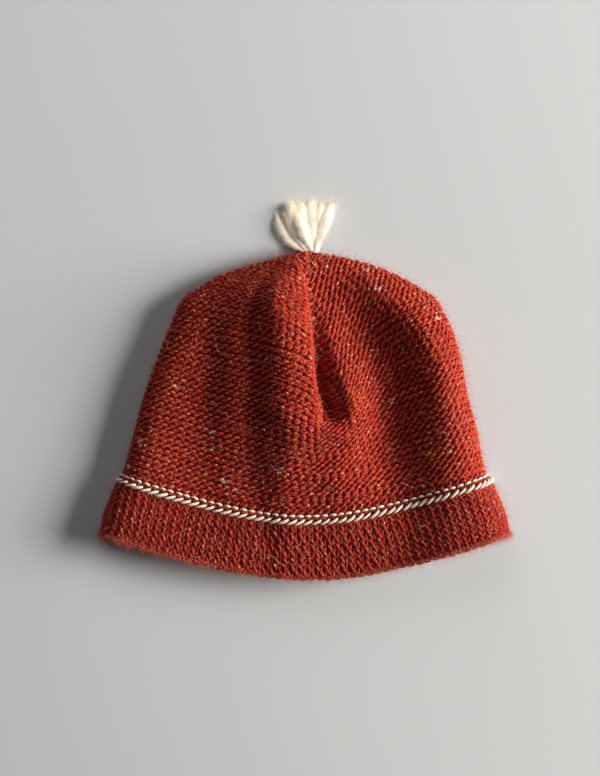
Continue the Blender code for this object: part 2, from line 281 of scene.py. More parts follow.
def folded_plan(u, v):
    """Plan point of a row of the crown's upper layer, whose two arms meet in the long fold."""
    f = np.clip((v - ROW_STRIPE) / (1 - ROW_STRIPE), 0, 1)
    meet = np.array(MEET)
    xm = curve(meet[:, 0], meet[:, 1], f)
    ym = curve(meet[:, 0], meet[:, 2], f)
    out = []
    for side, table in ((0, ARM_LEFT), (1, ARM_RIGHT)):
        fs = np.array([r[0] for r in table])
        across = np.stack([np.interp(f, fs, [r[1][k] for r in table]) for k in range(3)], -1)
        up = np.stack([np.interp(f, fs, [r[2][k] for r in table]) for k in range(3)], -1)
        zero, one = np.zeros(f.shape + (1,)), np.ones(f.shape + (1,))
        across = np.concatenate([zero, across, one], -1)
        up = np.concatenate([zero, up, one], -1)
        xe, ye = on_edge(side, v)
        a = curve(np.array(ARM_U), across, np.abs(u))
        b = curve(np.array(ARM_U), up, np.abs(u))
        out.append((xm + (xe - xm) * a, ym + (ye - ym) * b))
    left = u < 0
    return np.where(left, out[0][0], out[1][0]), np.where(left, out[0][1], out[1][1])


def fold_field():
    gx = np.arange(-125.0, 126.0, 1.0)
    gy = np.arange(-120.0, 96.0, 1.0)
    ys = np.array(FOLD_Y)
    lines_x = np.stack([curve(ys, np.array(f[1], float), gy) for f in FOLDS], -1)
    lines_z = np.stack([curve(ys, np.array(f[2], float), gy) for f in FOLDS], -1)
    lines_x = np.concatenate([lines_x[:, :1] - 60, lines_x, lines_x[:, -1:] + 60], 1)
    lines_z = np.concatenate([lines_z[:, :1] - 3, lines_z, lines_z[:, -1:] - 3], 1)
    xx = np.broadcast_to(gx, (len(gy), len(gx)))
    field = curve(lines_x[:, None, :], lines_z[:, None, :], xx)
    reach = int(math.ceil(3 * FOLD_SOFTEN))
    kernel = np.exp(-0.5 * (np.arange(-reach, reach + 1) / FOLD_SOFTEN) ** 2)
    kernel /= kernel.sum()
    for axis in (0, 1):
        pads = [(0, 0), (0, 0)]
        pads[axis] = (reach, reach)
        padded = np.pad(field, pads, mode="edge")
        field = sum(
            k * np.take(padded, np.arange(i, i + field.shape[axis]), axis)
            for i, k in enumerate(kernel)
        )
    return gx, gy, field


GX, GY, FIELD = fold_field()


def field_at(x, y):
    fx, fy = (x - GX[0]), (y - GY[0])
    i = np.clip(np.floor(fx).astype(int), 0, len(GX) - 2)
    j = np.clip(np.floor(fy).astype(int), 0, len(GY) - 2)
    a, b = fx - i, fy - j
    return (
        FIELD[j, i] * (1 - a) * (1 - b)
        + FIELD[j, i + 1] * a * (1 - b)
        + FIELD[j + 1, i] * (1 - a) * b
        + FIELD[j + 1, i + 1] * a * b
    )


def edge_distance(x, y):
    best = np.full(np.shape(x), 1e9)
    for ex, ey, _ in PATHS:
        for k in range(0, len(ex) - 3, 3):
            dx, dy = ex[k + 3] - ex[k], ey[k + 3] - ey[k]
            t = np.clip(((x - ex[k]) * dx + (y - ey[k]) * dy) / (dx * dx + dy * dy), 0, 1)
            best = np.minimum(best, np.hypot(x - ex[k] - t * dx, y - ey[k] - t * dy))
    return best


def fold_line(name, y):
    """x of a fold line at y, and its height."""
    row = next(f for f in FOLDS if f[0] == name)
    ys = np.array(FOLD_Y)
    return curve(ys, np.array(row[1], float), y), curve(ys, np.array(row[2], float), y)


def upper_surface(x, y):
    """The upper layer's outer surface over the plan points x, y."""
    d = edge_distance(x, y)
    side = 1 / (1 + np.exp(-x / 12.0))
    width = ROUND_UPPER[0] + (ROUND_UPPER[1] - ROUND_UPPER[0]) * side
    g = np.sqrt(1 - (1 - np.clip(d / width, 0, 1)) ** 2)
    z = EDGE_Z + (field_at(x, y) - EDGE_Z) * g
    # the long fold leans over to the right
    lean = np.array(LEAN)
    far = np.interp(y, lean[:, 0], lean[:, 1])
    xa, za = fold_line("lip", y)
    xv, zv = fold_line("valley_ab", y)
    drop = np.clip((z - zv) / np.maximum(za - zv, 2.0), 0, 1)
    right = smooth(0, 1, drop) * (x < xv)
    left = smooth(-LEAN_REACH, 0, x - xa)
    return np.stack([x + far * np.where(x < xa, left, right), y, z], -1)


def lower_surface(x, y):
    d = edge_distance(x, y)
    z = EDGE_Z * (1 - np.sqrt(1 - (1 - np.clip(d / ROUND_LOWER, 0, 1)) ** 2))
    return np.stack([x, y, z], -1)


def rings(v):
    """Closed rows at the row shares v: from the left edge over the upper layer to the right
    edge, and back under. Returns rows by samples by 3 and the number of upper samples."""
    tau = np.linspace(-1, 1, 2 * SAMPLES + 1)
    uf = np.sin(tau * np.pi / 2)
    vv, uu = np.meshgrid(v, uf, indexing="ij")
    xs, ys = plain_plan(uu, vv)
    xf, yf = folded_plan(uu, vv)
    crown = vv > ROW_STRIPE
    front = upper_surface(np.where(crown, xf, xs), np.where(crown, yf, ys))
    ub = np.sin(-tau[1:-1][::2] * np.pi / 2)
    vb, uu = np.meshgrid(v, ub, indexing="ij")
    xb, yb = plain_plan(uu, vb)
    back = lower_surface(xb, yb)
    return np.concatenate([front, back], 1), len(uf)


def unit(a):
    return a / np.maximum(np.linalg.norm(a, axis=-1, keepdims=True), 1e-9)


# odd coloured tufts spun into the yarn: x, y, radius, which (0 pale, 1 gold, 2 red)
NEPS = (
    (61.0, -30.4, 2.0, 1),
    (64.6, -60.4, 1.7, 2),
    (-45.1, -20.8, 1.9, 0),
    (-43.9, -28.2, 1.5, 0),
    (-38.9, -43.8, 2.2, 0),
    (-33.0, -48.5, 1.6, 0),
    (-62.2, 2.5, 1.6, 0),
    (35.5, 50.0, 1.8, 0),
    (69.0, -29.0, 1.8, 0),
    (65.0, 35.3, 1.6, 0),
    (42.8, -4.9, 1.5, 0),
    (-12.0, -38.5, 1.7, 0),
    (-86.0, -36.5, 1.4, 0),
    (-80.0, -24.0, 1.4, 0),
    (30.5, 59.5, 1.4, 0),
    (11.0, 61.0, 1.3, 0),
    (-28.0, 14.5, 1.4, 0),
)


def nep_marks(points):
    """How much each point of the upper layer is a pale, a gold and a red tuft."""
    marks = np.zeros((len(points), 3))
    for x, y, radius, which in NEPS:
        d = np.hypot(points[:, 0] - x, (points[:, 1] - y) * 1.35) / (0.85 * radius)
        marks[:, which] = np.maximum(marks[:, which], smooth(1.25, 0.7, d) * (points[:, 2] > 6))
    return marks


def wander(n, step, size):
    """A smooth random walk of n values: a new value each `step` samples."""
    k = int(n / step) + 4
    knots = rng.normal(0, size, k)
    return np.interp(np.arange(n) / step, np.arange(k), knots)


# ------------------------------------------------------------- meshes
def mesh_object(name, points, quads, material, uv=None, vectors=None, floats=None, smooth_faces=True):
    """A mesh of quads from arrays, with optional corner UVs and point attributes."""
    mesh = bpy.data.meshes.new(name)
    points = np.asarray(points, np.float32) * MM
    quads = np.asarray(quads, np.int32)
    k = quads.shape[1]
    mesh.vertices.add(len(points))
    mesh.vertices.foreach_set("co", points.reshape(-1))
    mesh.loops.add(quads.size)
    mesh.loops.foreach_set("vertex_index", quads.reshape(-1))
    mesh.polygons.add(len(quads))
    mesh.polygons.foreach_set("loop_start", np.arange(len(quads), dtype=np.int32) * k)
    mesh.polygons.foreach_set("loop_total", np.full(len(quads), k, np.int32))
    mesh.update(calc_edges=True)
    mesh.polygons.foreach_set("use_smooth", np.full(len(quads), smooth_faces))
    if uv is not None:
        layer = mesh.uv_layers.new(name="OFBake")
        layer.uv.foreach_set("vector", np.asarray(uv, np.float32).reshape(-1))
    for key, values in (vectors or {}).items():
        att = mesh.attributes.new(key, "FLOAT_VECTOR", "POINT")
        att.data.foreach_set("vector", np.asarray(values, np.float32).reshape(-1))
    for key, values in (floats or {}).items():
        att = mesh.attributes.new(key, "FLOAT", "POINT")
        att.data.foreach_set("value", np.asarray(values, np.float32).reshape(-1))
    mesh.validate()
    obj = bpy.data.objects.new(name, mesh)
    bpy.context.scene.collection.objects.link(obj)
    mesh.materials.append(material)
    return obj


class Tubes:
    """Collects tubes of yarn or hair and makes one mesh of them."""

    def __init__(self, sides):
        self.sides = sides
        self.points, self.quads, self.yarn, self.uv, self.tint = [], [], [], [], []
        self.count = 0
        self.runs = 0
        self.faces = 0

    def add(self, path, up, radius, closed=False, twist=0.0, start=0.0, tint=0.0, oval=1.0):
        """path n by 3, up n by 3 roughly across the path, radius n or a number."""
        n, k = len(path), self.sides
        if closed:
            tangent = np.roll(path, -1, 0) - np.roll(path, 1, 0)
            step = np.linalg.norm(np.roll(path, -1, 0) - path, axis=1)
        else:
            tangent = np.gradient(path, axis=0)
            step = np.linalg.norm(np.diff(path, axis=0), axis=1)
        length = start + np.concatenate([[0.0], np.cumsum(step)])[:n]
        tangent = unit(tangent)
        side = unit(np.cross(tangent, up))
        up = np.cross(side, tangent)
        angle = 2 * np.pi * np.arange(k) / k
        r = np.broadcast_to(radius, (n,))[:, None]
        ring = (
            path[:, None, :]
            + (r * np.cos(angle))[..., None] * side[:, None, :]
            + (r * oval * np.sin(angle))[..., None] * up[:, None, :]
        )
        turn = angle[None, :] + twist * length[:, None]
        coords = np.stack(
            [np.broadcast_to(length[:, None], (n, k)), r * np.cos(turn), r * np.sin(turn)], -1
        )
        rows = n if closed else n - 1
        i, j = np.meshgrid(np.arange(rows), np.arange(k), indexing="ij")
        a, b = i * k + j, i * k + (j + 1) % k
        c, d = ((i + 1) % n) * k + (j + 1) % k, ((i + 1) % n) * k + j
        self.quads.append(np.stack([a, d, c, b], -1).reshape(-1, 4) + self.count)
        u0, u1 = i / rows, (i + 1) / rows
        w0, w1 = j / k, (j + 1) / k
        self.uv.append(
            np.stack(
                [np.stack([u0, w0], -1), np.stack([u1, w0], -1), np.stack([u1, w1], -1), np.stack([u0, w1], -1)],
                -2,
            ).reshape(-1, 4, 2)
        )
        self.points.append(ring.reshape(-1, 3))
        self.yarn.append(coords.reshape(-1, 3))
        self.tint.append(np.full(n * k, tint))
        self.count += n * k
        self.faces += rows * k
        self.runs += 1
        return length[-1]

    def make(self, name, material):
        rows = len(self.uv)
        columns = max(1, int(math.sqrt(rows / 40)))
        lines = math.ceil(rows / columns)
        uv = []
        for m, part in enumerate(self.uv):
            col, line = divmod(m, lines)
            spot = np.array([col / columns, line / lines])
            uv.append(spot + part * np.array([0.98 / columns, 0.92 / lines]))
        points = np.concatenate(self.points)
        return mesh_object(
            name,
            points,
            np.concatenate(self.quads),
            material,
            uv=np.concatenate(uv),
            vectors={"yarn": np.concatenate(self.yarn), "nep": nep_marks(points)},
            floats={"tint": np.concatenate(self.tint)},
        )


# ------------------------------------------------------------- materials
def node(tree, kind, **inputs):
    n = tree.nodes.new(kind)
    for key, value in inputs.items():
        n.inputs[key.replace("_", " ")].default_value = value
    return n


def ramp(tree, source, stops):
    n = tree.nodes.new("ShaderNodeValToRGB")
    el = n.color_ramp.elements
    while len(el) < len(stops):
        el.new(0.5)
    for e, (at, colour) in zip(el, stops):
        e.position = at
        e.color = (*colour, 1.0)
    tree.links.new(source, n.inputs["Fac"])
    return n.outputs["Color"]


def scaled(tree, source, scale, offset=(0, 0, 0)):
    n = tree.nodes.new("ShaderNodeMapping")
    n.inputs["Scale"].default_value = scale
    n.inputs["Location"].default_value = offset
    tree.links.new(source, n.inputs["Vector"])
    return n.outputs["Vector"]


def noise(tree, vector, scale, detail=2.0, roughness=0.5):
    n = tree.nodes.new("ShaderNodeTexNoise")
    n.inputs["Scale"].default_value = scale
    n.inputs["Detail"].default_value = detail
    n.inputs["Roughness"].default_value = roughness
    tree.links.new(vector, n.inputs["Vector"])
    return n.outputs["Fac"]


def mixed(tree, fac, a, b, mode="MIX"):
    n = tree.nodes.new("ShaderNodeMix")
    n.data_type = "RGBA"
    n.blend_type = mode
    for key, value in (("Factor", fac), ("A", a), ("B", b)):
        socket = [s for s in n.inputs if s.name == key and s.enabled][0]
        if isinstance(value, (int, float)):
            socket.default_value = value
        elif isinstance(value, tuple):
            socket.default_value = (*value, 1.0)
        else:
            tree.links.new(value, socket)
    return [s for s in n.outputs if s.enabled][0]


def math_node(tree, op, a, b):
    n = tree.nodes.new("ShaderNodeMath")
    n.operation = op
    for i, value in enumerate((a, b)):
        if isinstance(value, (int, float)):
            n.inputs[i].default_value = value
        else:
            tree.links.new(value, n.inputs[i])
    return n.outputs[0]


def yarn_material(name, body, hues, fleck, fleck_share, sheen_tint, bump=0.5, sheen=0.35, neps=False):
    """A spun yarn: streaks of single fibres along it, slow drifts of hue, and pale flecks.
    body: ramp stops of the fibre streaks; hues: the three colours multiplied in slowly."""
    mat = bpy.data.materials.new(name)
    mat.use_nodes = True
    tree = mat.node_tree
    shader = tree.nodes["Principled BSDF"]
    shader.inputs["Roughness"].default_value = 0.88
    shader.inputs["Specular IOR Level"].default_value = 0.22
    shader.inputs["Sheen Weight"].default_value = sheen
    shader.inputs["Sheen Roughness"].default_value = 0.45
    shader.inputs["Sheen Tint"].default_value = (*sheen_tint, 1.0)
    yarn = tree.nodes.new("ShaderNodeAttribute")
    yarn.attribute_name = "yarn"
    along = yarn.outputs["Vector"]
    streak = noise(tree, scaled(tree, along, (0.60, 4.2, 4.2)), 1.0, 3.0, 0.65)
    colour = ramp(tree, streak, body)
    drift = noise(tree, scaled(tree, along, (0.30, 0.35, 0.35), (31, 7, 3)), 1.0, 3.0, 0.6)
    drift = ramp(tree, drift, tuple(zip((0.34, 0.50, 0.66), hues)))
    colour = mixed(tree, 1.0, colour, drift, "MULTIPLY")
    spots = noise(tree, scaled(tree, along, (0.42, 1.1, 1.1), (5, 19, 2)), 1.0, 2.0, 0.55)
    spots = ramp(tree, spots, ((fleck_share, (0, 0, 0)), (fleck_share + 0.07, (1, 1, 1))))
    colour = mixed(tree, spots, colour, fleck)
    if neps:
        marks = tree.nodes.new("ShaderNodeAttribute")
        marks.attribute_name = "nep"
        split = tree.nodes.new("ShaderNodeSeparateXYZ")
        tree.links.new(marks.outputs["Vector"], split.inputs["Vector"])
        for socket, tuft in zip(split.outputs, ((0.66, 0.38, 0.29), (0.70, 0.27, 0.02), (0.45, 0.006, 0.008))):
            colour = mixed(tree, socket, colour, tuft)
    tree.links.new(colour, shader.inputs["Base Color"])
    fine = noise(tree, scaled(tree, along, (1.3, 5.0, 5.0)), 1.0, 3.0, 0.65)
    bumped = tree.nodes.new("ShaderNodeBump")
    bumped.inputs["Strength"].default_value = bump
    bumped.inputs["Distance"].default_value = 0.0004
    tree.links.new(fine, bumped.inputs["Height"])
    tree.links.new(bumped.outputs["Normal"], shader.inputs["Normal"])
    return mat


def hair_material(name, stops, sheen_tint):
    """Single fibres: each takes its colour from its own number."""
    mat = bpy.data.materials.new(name)
    mat.use_nodes = True
    tree = mat.node_tree
    shader = tree.nodes["Principled BSDF"]
    shader.inputs["Roughness"].default_value = 0.6
    shader.inputs["Sheen Weight"].default_value = 0.3
    shader.inputs["Sheen Tint"].default_value = (*sheen_tint, 1.0)
    tint = tree.nodes.new("ShaderNodeAttribute")
    tint.attribute_name = "tint"
    tree.links.new(ramp(tree, tint.outputs["Fac"], stops), shader.inputs["Base Color"])
    return mat


RUST = yarn_material(
    "rust_yarn",
    ((0.30, (0.045, 0.002, 0.002)), (0.45, (0.25, 0.009, 0.005)), (0.58, (0.58, 0.030, 0.010)), (0.72, (0.98, 0.22, 0.10))),
    ((0.50, 0.32, 0.45), (0.95, 0.95, 0.95), (1.25, 2.50, 1.40)),
    (0.92, 0.44, 0.30),
    0.645,
    (1.0, 0.30, 0.20),
    sheen=0.20,
    neps=True,
)
# the same rust yarn made darker for the brim and hem: painted shade of the dense knit's own shadowing
RUST_BRIM_SHADED = yarn_material(
    "rust_yarn_brim_painted_shade",
    ((0.30, (0.040, 0.002, 0.002)), (0.46, (0.21, 0.008, 0.005)), (0.60, (0.49, 0.024, 0.009)), (0.74, (0.90, 0.18, 0.085))),
    ((0.48, 0.30, 0.43), (0.92, 0.92, 0.92), (1.20, 2.40, 1.35)),
    (0.90, 0.42, 0.29),
    0.65,
    (1.0, 0.34, 0.22),
    sheen=0.20,
    neps=True,
)
# a darker rust for the sheet behind the loops: painted shade between the stitches
RUST_PAINTED_SHADE = yarn_material(
    "rust_painted_shade",
    ((0.3, (0.13, 0.008, 0.005)), (0.7, (0.30, 0.022, 0.012))),
    ((0.70, 0.60, 0.60), (1.0, 1.0, 1.0), (1.2, 1.5, 1.1)),
    (0.40, 0.10, 0.07),
    0.70,
    (0.8, 0.3, 0.2),
    sheen=0.1,
)
CREAM = yarn_material(
    "cream_yarn",
    ((0.30, (0.62, 0.46, 0.34)), (0.50, (0.82, 0.66, 0.53)), (0.72, (0.95, 0.84, 0.74))),
    ((0.88, 0.80, 0.75), (0.98, 0.94, 0.92), (1.0, 1.0, 1.0)),
    (0.93, 0.88, 0.82),
    0.66,
    (1.0, 0.95, 0.88),
)
TUFT = yarn_material(
    "cream_tuft",
    ((0.32, (0.90, 0.74, 0.53)), (0.50, (0.99, 0.89, 0.73)), (0.68, (1.0, 0.96, 0.86))),
    ((0.96, 0.93, 0.90), (1.0, 1.0, 1.0), (1.0, 1.0, 1.0)),
    (0.98, 0.96, 0.92),
    0.62,
    (1.0, 0.97, 0.92),
)
HAIR = hair_material(
    "loose_fibres",
    ((0.0, (0.32, 0.014, 0.006)), (0.5, (0.54, 0.045, 0.018)), (0.78, (0.70, 0.17, 0.085)), (1.0, (0.84, 0.50, 0.37))),
    (1.0, 0.4, 0.3),
)
# cream darker than the wool: painted shade in place of the shadows the fibres do not cast
CREAM_HAIR_SHADED = hair_material(
    "loose_cream_fibres_painted_shade",
    ((0.0, (0.54, 0.43, 0.31)), (1.0, (0.61, 0.55, 0.45))),
    (1.0, 0.95, 0.85),
)
# light passes through the loose wool of the tassel
soft = TUFT.node_tree.nodes["Principled BSDF"]
soft.inputs["Subsurface Weight"].default_value = 0.40
soft.inputs["Subsurface Scale"].default_value = 0.003
soft.inputs["Subsurface Radius"].default_value = (1.0, 0.9, 0.75)
CREAM_HAIR_SHADED.node_tree.nodes["Principled BSDF"].inputs["Sheen Weight"].default_value = 0.9


# ------------------------------------------------------------- rows of stitches
def sampled_rows(v, half_step):
    """Everything needed along rows v: position, row direction, outward normal, direction to
    the next row and the distance to it, sampled round each ring."""
    here, upper = rings(v)
    ahead, _ = rings(np.minimum(v + half_step, 1.0))
    behind, _ = rings(np.maximum(v - half_step, 0.0))
    share = (np.minimum(v + half_step, 1.0) - np.maximum(v - half_step, 0.0)) / (2 * half_step)
    rise = (ahead - behind) / share[:, None, None]
    along = unit(np.roll(here, -1, 1) - np.roll(here, 1, 1))
    normal = unit(np.cross(along, rise))
    # a short smoothing along each row takes out kinks at sharp folds
    for _ in range(3):
        normal = unit(normal + 0.5 * (np.roll(normal, 1, 1) + np.roll(normal, -1, 1)))
    up = unit(np.cross(normal, along))
    pitch = np.abs(np.sum(rise * up, -1))
    for _ in range(6):
        pitch = 0.5 * pitch + 0.25 * (np.roll(pitch, 1, 1) + np.roll(pitch, -1, 1))
    return here, along, normal, up, pitch, upper


def stitch_marks(here, upper):
    """For each row, the ring positions of the two wales that the others are counted from."""
    lengths = []
    for row in here:
        step = np.linalg.norm(np.roll(row, -1, 0) - row, axis=1)
        lengths.append(np.concatenate([[0.0], np.cumsum(step)]))
    marks = []
    middle = (upper - 1) // 2
    for start, low, high in ((middle // 2, 2, middle - 4), (middle + middle // 2, middle + 4, upper - 3)):
        at = [start]
        for j in range(1, len(here)):
            gap = np.linalg.norm(here[j, low:high] - here[j - 1, int(at[-1])], axis=1)
            at.append(low + int(np.argmin(gap)))
        marks.append(at)
    return lengths, np.array(marks).T


def row_phases(length, mark, upper, front_steps, back_steps):
    """Ring lengths at each step of yarn of one row, and the phase there in stitches."""
    a, b = length[mark[0]], length[mark[1]]
    total = length[-1]
    left_edge, right_edge = 0.0, length[upper - 1]
    over = max(3, round((b - a) / WALE))
    under = max(3, round((total - (b - a)) / WALE))
    # upper stretch a..b, then b round the lower layer back to a + total
    count = over + under
    phase = [np.arange(over * front_steps) / front_steps]
    place = [a + phase[0] / over * (b - a)]
    p, parts = 0.0, []
    while p < under - 1e-9:
        s = b + p / under * (total - (b - a))
        on_upper = s < right_edge + 6 or s > total + left_edge - 6
        step = front_steps if on_upper else back_steps
        parts.append(np.arange(step) / step + p)
        p += 1.0
    rest = np.concatenate(parts)
    phase.append(over + rest)
    place.append(b + rest / under * (total - (b - a)))
    return np.concatenate(place) % total, np.concatenate(phase), count


def knit(tubes_of, v, half_step, face, front_steps, back_steps, radius, deep, high, bow, skew):
    """Rows of loops. face +1 shows the heads of the loops outside, -1 their legs."""
    here, along, normal, up, pitch, upper = sampled_rows(v, half_step)
    lengths, marks = stitch_marks(here, upper)
    start = 0.0
    for j in range(len(v)):
        place, phase, count = row_phases(lengths[j], marks[j], upper, front_steps, back_steps)
        ring = lengths[j]

        def at(values):
            closed = np.concatenate([values[j], values[j][:1]])
            if closed.ndim == 1:
                return np.interp(place, ring, closed)
            return np.stack([np.interp(place, ring, closed[:, c]) for c in range(3)], -1)

        n = len(place)
        centre, t, nn, b, p = at(here), unit(at(along)), unit(at(normal)), unit(at(up)), at(pitch)
        squeeze = np.clip(p / COURSE, 0.45, 1.2)
        # nothing stays perfectly even in a hand knit
        uneven = wander(n, front_steps * 0.5, 0.10)
        sway = bow * (1 + wander(n, front_steps, 0.10))
        once, twice = 2 * np.pi * phase, 4 * np.pi * phase
        dx = sway * np.sin(twice) + skew[0] * np.cos(once) + wander(n, front_steps * 0.7, 0.14)
        dy = squeeze * (high * np.cos(once) * (1 + wander(n, front_steps, 0.07)) + skew[1] * np.sin(twice)) + uneven
        dz = face * deep * np.cos(twice) - skew[2] * np.sin(twice) * np.cos(once) - skew[3] * np.sin(once)
        dz = dz + wander(n, front_steps * 0.6, 0.10)
        path = centre + t * dx[:, None] + b * dy[:, None] + nn * (dz - deep - radius)[:, None]
        r = radius * np.clip(0.80 + 0.20 * squeeze, 0.7, 1.04) * (1 + wander(n, front_steps * 0.8, 0.08))
        r = r * (1 - skew[4] * np.sin(once))
        path[:, 2] = np.maximum(path[:, 2], r * 0.98)
        tubes = tubes_of(j)
        start = tubes.add(path, nn, r, closed=True, twist=1.9, start=start + 17.0) + 3.0
    return here, normal, up, along, pitch, lengths, marks, upper


PIECES = []


def piece(obj, slot, *nodes):
    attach(obj, "root")
    for name in nodes:
        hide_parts(name)
    PIECES.append(obj)
    return obj


# crown: the purl side is outside
row_t = (np.arange(ROWS_CROWN) + 1.0) / ROWS_CROWN
crown_share = (1 - ROW_STRIPE) * (1 - CREAM_ROW)
crown_v = ROW_STRIPE + (1 - ROW_STRIPE) * CREAM_ROW + crown_share * row_t * (1 - ROW_EASE * (1 - row_t))
crown_half = 0.5 * crown_share / ROWS_CROWN * (1 - ROW_EASE * (1 - 2 * row_t))
crown_half = crown_half[crown_v < 0.990]
crown_v = crown_v[crown_v < 0.990]
parts = [Tubes(SIDES) for _ in range(3)]
CUTS = (12, 27)


def crown_part(j):
    return parts[0 if j < CUTS[0] else 1 if j < CUTS[1] else 2]


crown_rows = knit(crown_part, crown_v, crown_half, 1.0, FRONT_STEPS, BACK_STEPS, YARN, LOOP_DEEP, LOOP_HIGH, LOOP_SWAY, CROWN_SKEW)
for name, part in zip(("crown_lower_rows", "crown_middle_rows", "crown_upper_rows"), parts):
    print(name, part.faces * 2)
    piece(part.make(name, RUST), "rust_knit", "crown")

# brim: the knit side is outside
brim_tubes = Tubes(SIDES)
brim_share = (ROW_STRIPE - 0.012) / ROWS_BRIM
brim_v = brim_share * (np.arange(ROWS_BRIM) + 0.5)
brim_rows = knit(lambda j: brim_tubes, brim_v, brim_share / 2, -1.0, FRONT_STEPS, BACK_STEPS, *BRIM_LOOP, BRIM_SKEW)
print("brim", brim_tubes.faces * 2)
piece(brim_tubes.make("brim_rows", RUST_BRIM_SHADED), "rust_knit", "brim")


# the sheet in the middle of the wall, which closes the gaps between the loops; its dark rust is painted shade seen
# through the gaps
def core_sheet():
    v = np.concatenate([np.linspace(0.004, ROW_STRIPE, 8), np.linspace(ROW_STRIPE + 0.02, 0.995, 44)])
    here, along, normal, up, pitch, upper = sampled_rows(v, 0.004)
    points = here - normal * 1.45
    points[..., 2] = np.maximum(points[..., 2], 0.9)
    points = points[:, ::3]
    rows, n = points.shape[:2]
    i, j = np.meshgrid(np.arange(rows - 1), np.arange(n), indexing="ij")
    a, b = i * n + j, i * n + (j + 1) % n
    quads = np.stack([a, b, b + n, a + n], -1).reshape(-1, 4)
    u0, u1 = j / n, (j + 1) / n
    w0, w1 = i / rows, (i + 1) / rows
    uv = np.stack([np.stack([u0, w0], -1), np.stack([u1, w0], -1), np.stack([u1, w1], -1), np.stack([u0, w1], -1)], -2)
    flat = points.reshape(-1, 3)
    return mesh_object(
        "wall_core", flat, quads, RUST_PAINTED_SHADE, uv=uv.reshape(-1, 4, 2), vectors={"yarn": flat}
    )


piece(core_sheet(), "rust_knit")


# ------------------------------------------------------------- cream stripe
def ring_frames(v, half_step):
    here, along, normal, up, pitch, upper = sampled_rows(np.array([v]), half_step)
    row = here[0]
    step = np.linalg.norm(np.roll(row, -1, 0) - row, axis=1)
    length = np.concatenate([[0.0], np.cumsum(step)])

    def at(place):
        place = np.asarray(place) % length[-1]
        found = []
        for values in (here[0], along[0], normal[0], up[0]):
            closed = np.concatenate([values, values[:1]])
            found.append(np.stack([np.interp(place, length, closed[:, c]) for c in range(3)], -1))
        return found[0], unit(found[1]), unit(found[2]), unit(found[3])

    return at, length[-1]


BRAID_STEP = 4.07
# a stroke of the braid: share of its length, along the row, across the row, outward, radius
BRAID_STROKE = (
    (0.00, -2.9, -1.15, -1.30, 0.26),
    (0.14, -2.4, -1.10, -0.45, 0.48),
    (0.30, -1.6, -0.82, 0.15, 0.62),
    (0.50, -0.3, -0.22, 0.42, 0.68),
    (0.70, 1.0, 0.40, 0.38, 0.66),
    (0.86, 2.0, 0.90, -0.05, 0.54),
    (1.00, 2.5, 1.18, -1.00, 0.28),
)
# a cream head: the same columns
CREAM_HEAD = (
    (0.00, -1.60, -0.55, -1.60, 0.34),
    (0.18, -1.30, -0.26, -0.80, 0.50),
    (0.36, -0.68, 0.02, -0.30, 0.57),
    (0.50, 0.00, 0.10, -0.18, 0.59),
    (0.64, 0.68, 0.06, -0.28, 0.57),
    (0.82, 1.30, -0.18, -0.80, 0.50),
    (1.00, 1.60, -0.45, -1.60, 0.34),
)


def strokes(tubes, at, total, pitch, table, rise, lift, steps):
    """One short tube a stitch round the ring, each after the same table, none quite alike."""
    table = np.array(table)
    count = round(total / pitch)
    t = np.linspace(0, 1, steps)
    cols = [curve(table[:, 0], table[:, k], t) for k in range(1, 5)]
    for m in range(count):
        middle = (m + rng.normal(0, 0.045)) / count * total
        size = 1 + rng.normal(0, 0.05)
        tilt = rng.normal(0, 0.05)
        dx, dy, dz, r = (c * size for c in cols)
        centre, along, normal, up = at(middle + dx)
        path = centre + up * (dy + rise + tilt * dx)[:, None] + normal * (dz + lift)[:, None]
        path[:, 2] = np.maximum(path[:, 2], r + 0.02)
        tubes.add(path, normal, r, twist=1.3, start=rng.uniform(0, 500), tint=rng.uniform(0, 1))


stripe_at, stripe_long = ring_frames(ROW_STRIPE, 0.004)
braid = Tubes(8)
strokes(braid, stripe_at, stripe_long, BRAID_STEP, BRAID_STROKE, 0.0, 0.10, 13)
piece(braid.make("braid_strokes", CREAM), "cream_yarn", "braid")
heads = Tubes(7)
strokes(heads, stripe_at, stripe_long, BRAID_STEP, CREAM_HEAD, 3.05, -0.30, 11)
piece(heads.make("cream_heads", CREAM), "cream_yarn")

# the rust yarn that shows between the two cream rows, and the cast-on edge at the hem
edging = Tubes(5)


def cord_round(v, half_step, rise, lift, wave, pitch, radius, steps):
    at, total = ring_frames(v, half_step)
    count = round(total / pitch)
    n = count * steps
    place = np.arange(n) / n * total
    phase = np.arange(n) / steps
    centre, along, normal, up = at(place)
    dy = rise + wave * np.cos(2 * np.pi * phase) + wander(n, steps, 0.12)
    dz = lift + 0.25 * np.cos(4 * np.pi * phase) + wander(n, steps, 0.08)
    path = centre + up * dy[:, None] + normal * dz[:, None]
    r = radius * (1 + wander(n, steps * 0.7, 0.05))
    path[:, 2] = np.maximum(path[:, 2], r)
    edging.add(path, normal, r, closed=True, twist=1.9, start=rng.uniform(0, 500))


cord_round(ROW_STRIPE, 0.004, 1.65, -1.00, 0.25, BRAID_STEP, 0.80, 10)
cord_round(ROW_STRIPE, 0.004, -2.2, -1.10, 0.30, BRAID_STEP, 0.85, 10)
cord_round(0.004, 0.004, -0.10, -1.15, 0.25, BRAID_STEP, 0.85, 10)
cord_round(0.004, 0.004, -0.45, -2.05, -0.25, BRAID_STEP, 0.80, 10)
piece(edging.make("hem_edge", RUST_BRIM_SHADED), "rust_knit")


